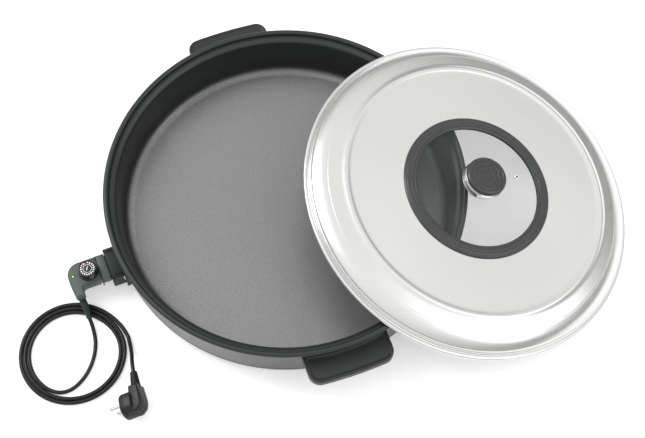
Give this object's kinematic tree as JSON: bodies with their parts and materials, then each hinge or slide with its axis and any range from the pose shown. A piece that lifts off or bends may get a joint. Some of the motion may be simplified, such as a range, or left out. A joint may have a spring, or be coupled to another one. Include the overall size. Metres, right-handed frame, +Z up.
{
  "type": "electric griddle",
  "caption": "Round electric griddle pan with side handles, a plug-in thermostat with coiled mains lead, and a domed steel lid with a glass window leaning on the pan's rim.",
  "frame": {"origin": "centre of the footprint of pan, lid and thermostat, on the floor", "axes": "+Z up; X along the thermostat's plug-in axis, with the thermostat at -X and the lid at +X"},
  "size_m": [0.9148, 0.6346, 0.1504],
  "materials": {
    "cast_pan": "dark non-stick coat",
    "housing_paint": "satin grey paint",
    "steel": "plain steel",
    "lid_steel": "polished stainless steel",
    "chrome": "bright",
    "grip": "moulded, half gloss",
    "socket_plastic": "matt dark green-black",
    "case_plastic": "matt grey-green",
    "silicone": "smooth",
    "window": "clear",
    "soft_black": "smooth black",
    "lens": "clear green",
    "scale": "silver print"
  },
  "bodies": {
    "pan": {"pan_casting": "cast_pan", "outer_housing": "housing_paint", "housing_screw": "steel", "foot_1": "soft_black", "foot_2": "soft_black", "foot_3": "soft_black", "foot_4": "soft_black", "heating_element": "steel", "element_clip_1": "steel", "element_clip_2": "steel", "element_clip_3": "steel", "terminal_pin_1": "steel", "terminal_pin_2": "steel", "probe_guide_tube": "steel", "inlet_socket": "socket_plastic", "socket_screw_1": "steel", "socket_screw_2": "steel", "handle_1": "grip", "handle_2": "grip", "handle_bracket_1": "steel", "handle_bracket_2": "steel", "handle_screw_1": "steel", "handle_screw_2": "steel", "handle_screw_3": "steel", "handle_screw_4": "steel", "bracket_screw_1": "steel", "bracket_screw_2": "steel"},
    "lid": {"lid_shell": "lid_steel", "window_gasket": "silicone", "window_glass": "window", "vent_eyelet": "chrome", "knob_cap": "grip", "knob_collar": "chrome", "knob_stem": "grip", "knob_washer": "soft_black", "knob_screw": "steel"},
    "thermostat": {"case_cover": "case_plastic", "case_base": "case_plastic", "plug_in_nose": "case_plastic", "temperature_probe": "steel", "contact_sleeve_1": "steel", "contact_sleeve_2": "steel", "thermostat_switch": "grip", "indicator_lens": "lens", "cover_screw_1": "steel", "cover_screw_2": "steel", "strain_relief": "soft_black", "cord_lead": "soft_black", "cord_coil": "soft_black", "cord_tail": "soft_black", "plug_body": "soft_black", "plug_pin_1": "steel", "plug_pin_2": "steel", "plug_earth_clip_1": "steel", "plug_earth_clip_2": "steel"},
    "dial": {"dial_knob": "grip", "dial_scale": "scale", "dial_pointer": "grip", "dial_shaft": "grip"}
  },
  "joints": [
    {"name": "lid_lift", "type": "slide", "parent": "pan", "child": "lid", "axis": [0, 0, 1], "range_m": [0, 0.12]},
    {"name": "thermostat_unplug", "type": "slide", "parent": "pan", "child": "thermostat", "axis": [-1, 0, 0], "range_m": [0, 0.085]},
    {"name": "dial_turn", "type": "hinge", "parent": "thermostat", "child": "dial", "pos_m": [-0.37565, 0.0277, 0.045], "axis": [0, 0, 1], "range_deg": [-270, 0]}
  ]
}
